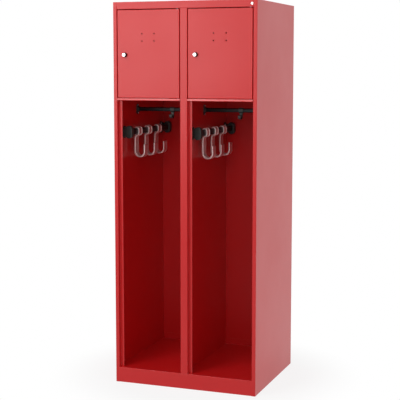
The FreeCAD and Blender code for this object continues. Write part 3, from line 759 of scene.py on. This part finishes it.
@dataclass
class SlidingHook:
    """Cast hook on the hook rail: a sleeve with two rims and a wide dished strap below it.

    The strap's places are measured from the middle of the sleeve.
    """

    side: str
    number: int
    rim_long: float = 8.0
    rim_round: float = 2.4
    band_drop: float = 2.0
    band_round: float = 0.9
    bore_room: float = 0.08
    arm_wall: float = -10.0
    arm_room: float = 39.0
    start: tuple[float, float] = (-1.5, -17.0)
    neck: float = -28.0
    neck_round: float = 14.0
    low: float = -122.5
    tip: float = -67.5
    bend_gap: float = 0.1
    section: Strap = Strap(wide=42.0, rim_thick=9.0, web_thick=4.0, rim_wide=8.0, soft=3.0, bead=6.0)

    def build(self) -> None:
        """Make the sleeve and the strap.

        The sleeve is ovals along the rail, over its rims and band and back along the bore.
        """
        node = f"{self.side}_hook_sleeve_{self.number}"
        rail = OvalRail(f"{self.side}_hook_rail", ALONG_Y)
        low, high = box_mm(node)
        middle = (low + high) / 2
        rim = (high[0] - low[0]) / 2
        end = (high[1] - low[1]) / 2
        band = rim - self.band_drop
        inner = end - self.rim_long
        bore = rail.radius + self.bore_room
        corners = [
            (bore, -end), (rim, -end), (rim, -inner), (band, -inner), (band, inner), (rim, inner),
            (rim, end), (bore, end),
        ]
        profile = rounded_profile(corners, (self.rim_round, *[self.band_round] * 4, self.rim_round))
        straights = np.full(len(profile), rail.straight)
        sleeve = oval_rows(middle, ALONG_Y, profile[:, 1], profile[:, 0], straights)
        stand_for(node, "casting", [Skin(sleeve, is_ring=True)])
        self.strap(middle)

    def strap(self, middle: np.ndarray) -> None:
        """Make the strap: stem near the wall, half-round bend and upturned end with a bead.

        Args:
            middle: Middle of the sleeve.
        """
        points = [
            self.start, (self.arm_wall, self.neck), (self.arm_wall, self.low), (self.arm_room, self.low),
            (self.arm_room, self.tip),
        ]
        corners = [middle + ALONG_X * across + UP * up for across, up in points]
        bend = (self.arm_room - self.arm_wall) / 2 - self.bend_gap
        skin = self.section.skin(corners, (self.neck_round, bend, bend), ALONG_Y)
        stand_for(f"{self.side}_hook_{self.number}", "casting", [skin])


@dataclass
class ClothesRail:
    """Oval rail across a bay, with its end sockets and the moulded hook that slides on it.

    The hook's places are measured from the rail's middle line.
    """

    side: str
    wall: float = 1.5
    plate_tall: float = 52.0
    plate_wide: float = 24.0
    plate_thick: float = 3.0
    cup_tall: float = 27.0
    cup_wide: float = 19.0
    cup_long: float = 12.0
    cup_room: float = 0.05
    socket_rounds: tuple[float, ...] = (0.2, 1.2, 0.8, 1.2, 0.5, 0.2)
    ring_room: float = 0.08
    ring_round: float = 1.2
    crook_start: float = 1.5
    hook_low: float = -39.0
    hook_out: float = -26.0
    hook_tip: float = -26.0
    hook_round: float = 12.0
    section: Strap = Strap(wide=16.0, rim_thick=7.0, web_thick=7.0, rim_wide=4.0, soft=2.4)

    def build(self) -> None:
        """Make the tube, the sockets and the hook."""
        rail = OvalRail(f"{self.side}_clothes_rail", ALONG_X)
        rail.tube(self.wall)
        for number, inward in ((1, ALONG_X), (2, -ALONG_X)):
            self.socket(f"{self.side}_rail_socket_{number}", rail, inward)
        self.hook(rail)

    def socket(self, node: str, rail: OvalRail, inward: np.ndarray) -> None:
        """Make a socket: an oval wall plate with a cup for the rail's end, as ovals along the rail.

        Args:
            node: CAD node of the socket.
            rail: Rail that ends in the socket.
            inward: Direction from the wall into the bay.
        """
        low, high = box_mm(node)
        base = np.array((low[0] if inward[0] > 0 else high[0], rail.middle[1], rail.middle[2]))
        plate = self.plate_wide / 2
        cup = self.cup_wide / 2
        room = rail.radius + self.cup_room
        corners = [
            (POLE, 0), (plate, 0), (plate, self.plate_thick), (cup, self.plate_thick), (cup, self.cup_long),
            (room, self.cup_long), (room, self.plate_thick), (POLE, self.plate_thick),
        ]
        profile = rounded_profile(corners, self.socket_rounds)
        widths = (POLE, rail.radius, cup, plate)
        cup_spread = (self.cup_tall - self.cup_wide) / 2
        plate_spread = (self.plate_tall - self.plate_wide) / 2
        straights = np.interp(profile[:, 0], widths, (POLE, rail.straight, cup_spread, plate_spread))
        rows = oval_rows(base, inward, profile[:, 1], profile[:, 0], straights)
        stand_for(node, "moulding", [Skin(rows)])

    def hook(self, rail: OvalRail) -> None:
        """Make the sliding hook: a ring of ovals round the rail and a flat crook that opens to the front.

        Args:
            rail: Rail that the hook slides on.
        """
        node = f"{self.side}_slide_hook"
        low, high = box_mm(node)
        centre = np.array(((low[0] + high[0]) / 2, rail.middle[1], rail.middle[2]))
        end = (high[0] - low[0]) / 2
        bore = rail.radius + self.ring_room
        outside = high[1] - rail.middle[1]
        corners = [(bore, -end), (outside, -end), (outside, end), (bore, end)]
        profile = rounded_profile(corners, (self.ring_round, self.ring_round))
        straights = np.full(len(profile), rail.straight)
        ring = oval_rows(centre, ALONG_X, profile[:, 1], profile[:, 0], straights)
        start = -(rail.radius + rail.straight + self.crook_start)
        points = [
            (0, start), (0, self.hook_low), (self.hook_out, self.hook_low), (self.hook_out, self.hook_tip),
        ]
        run = [centre + ALONG_Y * out + UP * up for out, up in points]
        crook = self.section.skin(run, (self.hook_round, self.hook_round), ALONG_X)
        stand_for(node, "moulding", [Skin(ring, is_ring=True), crook])


@dataclass
class DomeNuts:
    """Dome nuts on the welded studs that hold the brackets and the rail sockets.

    The hexagon's top is a share of the nut's height, the crown is one of its radius, and the shoulder has
    one of each.
    """

    flats: float = 7.0
    stud: float = 2.0
    dome: float = 4.0
    tall: float = 4.4
    hexagon_top: float = 0.4
    shoulder: tuple[float, float] = (0.82, 0.55)
    crown: float = 0.7
    rounds: tuple[float, ...] = (0.05, 0.3, 0.3, 0.4, 1.6)
    bracket_stud: float = 36.0
    spread: float = 20.0

    def nut(self, seat: np.ndarray, out: np.ndarray, plate: float) -> Skin:
        """Make a stud with its nut by turning a profile: a hexagon with a chamfer, and a dome above it.

        Args:
            seat: Foot of the stud on the wall.
            out: Direction away from the wall.
            plate: Thickness of the plate under the nut.

        Returns:
            The closed skin.
        """
        top = plate + self.tall
        shoulder_wide, shoulder_high = self.shoulder
        corners = [
            (self.stud, 0), (self.stud, plate), (self.dome, plate),
            (self.dome, plate + self.tall * self.hexagon_top),
            (self.dome * shoulder_wide, plate + self.tall * shoulder_high), (self.dome * self.crown, top),
            (POLE, top),
        ]
        return Skin(turned_rows(seat, out, rounded_profile(corners, self.rounds), self.flats))

    def build(self) -> None:
        """Make the nuts of the brackets and of the sockets as two groups."""
        on_brackets, on_sockets = [], []
        for side in SIDES:
            for place, step in (("front", self.bracket_stud), ("rear", -self.bracket_stud)):
                low, high = box_mm(f"{side}_{place}_bracket")
                face = low[1] if step > 0 else high[1]
                middle = (low[2] + high[2]) / 2
                for up in (-self.spread, self.spread):
                    seat = np.array((low[0], face + step, middle + up))
                    on_brackets.append(self.nut(seat, ALONG_X, HookRail.foot_thick))
            for number, out in ((1, ALONG_X), (2, -ALONG_X)):
                low, high = box_mm(f"{side}_rail_socket_{number}")
                wall = low[0] if number == 1 else high[0]
                middle = (low + high) / 2
                for up in (-self.spread, self.spread):
                    seat = np.array((wall, middle[1], middle[2] + up))
                    on_sockets.append(self.nut(seat, out, ClothesRail.plate_thick))
        stand_for("bracket_fixings", "dome_nuts", on_brackets)
        stand_for("socket_fixings", "dome_nuts", on_sockets)


@dataclass(frozen=True)
class SoftLamp:
    """Large soft lamp that hangs outside the picture, with its sizes in metres and its power in watts."""

    name: str
    place: tuple[float, float, float]
    aim: tuple[float, float, float]
    size: tuple[float, float]
    power: float

    def hang(self) -> None:
        """Hang the lamp so that it faces its aim."""
        data = bpy.data.lights.new(self.name, "AREA")
        data.shape = "RECTANGLE"
        data.size, data.size_y = self.size
        data.energy = self.power
        lamp = bpy.data.objects.new(self.name, data)
        across, ahead, rise = np.array(self.aim) - np.array(self.place)
        lamp.location = self.place
        tilt = math.atan2(rise, math.hypot(across, ahead))
        lamp.rotation_euler = (math.pi / 2 + tilt, 0, math.atan2(-across, ahead))
        lamp.visible_camera = False
        bpy.context.scene.collection.objects.link(lamp)


def seen_directly(tree: bpy.types.NodeTree) -> bpy.types.NodeSocket:
    """Add nodes that tell rays of the camera, of reflections and of glass from the rest.

    Args:
        tree: Node tree of the world or of the floor.

    Returns:
        Socket that is 1 for those rays and 0 for others.
    """
    path = add_node(tree, "ShaderNodeLightPath")
    either = add_node(
        tree, "ShaderNodeMath", {"operation": "MAXIMUM"}, {},
        {0: path.outputs["Is Camera Ray"], 1: path.outputs["Is Glossy Ray"]},
    )
    any_of = add_node(
        tree, "ShaderNodeMath", {"operation": "MAXIMUM"}, {},
        {0: either.outputs[0], 1: path.outputs["Is Transmission Ray"]},
    )
    return any_of.outputs[0]


@dataclass
class Studio:
    """Camera at the photograph's angle, a pale floor and soft light.

    Places are in metres, angles in degrees, and the lens and its sensor in millimetres.
    """

    place: tuple[float, float, float] = (1.7936, -4.8754, 1.5044)
    yaw: float = 20.499
    pitch: float = 6.479
    lens: float = 96.899
    sensor: float = 36.0
    shift: float = -0.028
    floor_colour: str = "#ebebeb"
    floor_radius: float = 14.0
    floor_level: float = -0.0005
    floor_columns: int = 64
    floor_rings: int = 24
    inner_rings: tuple[float, float] = (0.01, 0.2)
    shadow_start: float = 0.42
    shadow_radius: float = 0.8
    shadow_whiteness: float = 0.85
    room_light: float = 0.35
    lamps: tuple[SoftLamp, ...] = (
        SoftLamp(
            name="key_softbox", size=(1.9, 1.5), power=29.5,
            place=(-1.75, -3.6, 1.75), aim=(-0.1, -0.3, 1.55),
        ),
        SoftLamp(
            name="top_softbox", size=(1.4, 0.3), power=26.0,
            place=(-1.05, -2.15, 3.42), aim=(0.0, -0.3, 1.36),
        ),
        SoftLamp(
            name="fill_softbox", size=(2.0, 1.4), power=24.0,
            place=(1.0, -4.2, 2.5), aim=(0.0, 0.0, 0.5),
        ),
        SoftLamp(
            name="side_softbox", size=(2.6, 2.4), power=36.0,
            place=(4.2, 0.4, 1.2), aim=(0.35, 0.0, 0.9),
        ),
        SoftLamp(
            name="rear_softbox", size=(2.2, 1.8), power=12.0,
            place=(-1.4, 4.0, 1.7), aim=(0.0, 0.3, 0.9),
        ),
    )

    def build(self) -> None:
        """Set up the camera, the room, the light and the floor."""
        bpy.context.scene.view_settings.view_transform = "Standard"
        self.camera()
        self.room()
        for lamp in self.lamps:
            lamp.hang()
        self.floor()

    def camera(self) -> None:
        """Place the camera."""
        data = bpy.data.cameras.new("camera")
        data.lens = self.lens
        data.sensor_width = self.sensor
        data.shift_y = self.shift
        camera = bpy.data.objects.new("camera", data)
        camera.location = self.place
        camera.rotation_euler = (math.pi / 2 - math.radians(self.pitch), 0, math.radians(self.yaw))
        bpy.context.scene.collection.objects.link(camera)
        bpy.context.scene.camera = camera

    def room(self) -> None:
        """Make a white room that lights the locker softly."""
        world = bpy.data.worlds.new("white_room")
        world.use_nodes = True
        bpy.context.scene.world = world
        tree = world.node_tree
        light = tree.nodes["Background"]
        light.inputs["Color"].default_value = to_linear(WHITE)
        light.inputs["Strength"].default_value = self.room_light
        white = add_node(tree, "ShaderNodeBackground", {}, {"Color": to_linear(WHITE), "Strength": 1.0})
        mixed = add_node(
            tree, "ShaderNodeMixShader", {}, {},
            {0: seen_directly(tree), 1: light.outputs[0], 2: white.outputs[0]},
        )
        tree.links.new(mixed.outputs[0], tree.nodes["World Output"].inputs["Surface"])

    def floor(self) -> None:
        """Lay a round pale floor that is white to the camera and keeps the locker's shadow near it.

        Point (k, t) = radius[k] (cos t, sin t) at the floor's level, and the innermost ring is closed.
        """
        hole, first = self.inner_rings
        rings = np.concatenate(([hole], np.geomspace(first, self.floor_radius, self.floor_rings)))
        angle = np.linspace(0, 2 * math.pi, self.floor_columns, endpoint=False)
        circle = np.stack((np.cos(angle), np.sin(angle), np.zeros_like(angle)), axis=1)
        points = rings[:, None, None] * circle + UP * self.floor_level
        here = np.arange(len(rings) * len(angle)).reshape(-1, len(angle))
        beside = np.roll(here, -1, axis=1)
        quads = np.stack((here[:-1], here[1:], beside[1:], beside[:-1]), axis=-1).reshape(-1, 4)
        mesh = bpy.data.meshes.new("floor")
        mesh.from_pydata(points.reshape(-1, 3).tolist(), [], quads.tolist() + [here[0].tolist()])
        mesh.materials.append(self.floor_paint())
        floor = bpy.data.objects.new("floor", mesh)
        bpy.context.scene.collection.objects.link(floor)

    def floor_paint(self) -> bpy.types.Material:
        """Make the floor's paint: white by itself far away, lit and shadowed near the locker.

        Returns:
            The material.
        """
        material = bpy.data.materials.new("pale_floor_paint")
        material.use_nodes = True
        tree = material.node_tree
        tree.nodes.remove(tree.nodes["Principled BSDF"])
        coordinates = add_node(tree, "ShaderNodeTexCoord")
        length = add_node(
            tree, "ShaderNodeVectorMath", {"operation": "LENGTH"}, {}, {0: coordinates.outputs["Object"]}
        )
        fade = {"From Min": self.shadow_start, "From Max": self.shadow_radius}
        fade.update({"To Min": self.shadow_whiteness, "To Max": 1.0})
        whiteness = add_node(
            tree, "ShaderNodeMapRange", {"interpolation_type": "SMOOTHSTEP"}, fade,
            {"Value": length.outputs["Value"]},
        )
        share = add_node(
            tree, "ShaderNodeMath", {"operation": "MULTIPLY"}, {},
            {0: seen_directly(tree), 1: whiteness.outputs["Result"]},
        )
        lit = add_node(tree, "ShaderNodeBsdfDiffuse", {}, {"Color": to_linear(self.floor_colour)})
        white = add_node(tree, "ShaderNodeEmission", {}, {"Color": to_linear(WHITE), "Strength": 1.0})
        mixed = add_node(
            tree, "ShaderNodeMixShader", {}, {},
            {0: share.outputs[0], 1: lit.outputs[0], 2: white.outputs[0]},
        )
        tree.links.new(mixed.outputs[0], tree.nodes["Material Output"].inputs["Surface"])
        return material


def main() -> None:
    """Build the locker's sub-assemblies and the studio in order."""
    logging.basicConfig(level=logging.INFO, format="%(message)s")
    Carcass().build()
    for side in SIDES:
        Door(side).build()
        HookRail(side).build()
        for number in HOOK_NUMBERS:
            SlidingHook(side, number).build()
        ClothesRail(side).build()
    DomeNuts().build()
    Studio().build()


if __name__ == "__main__":
    main()
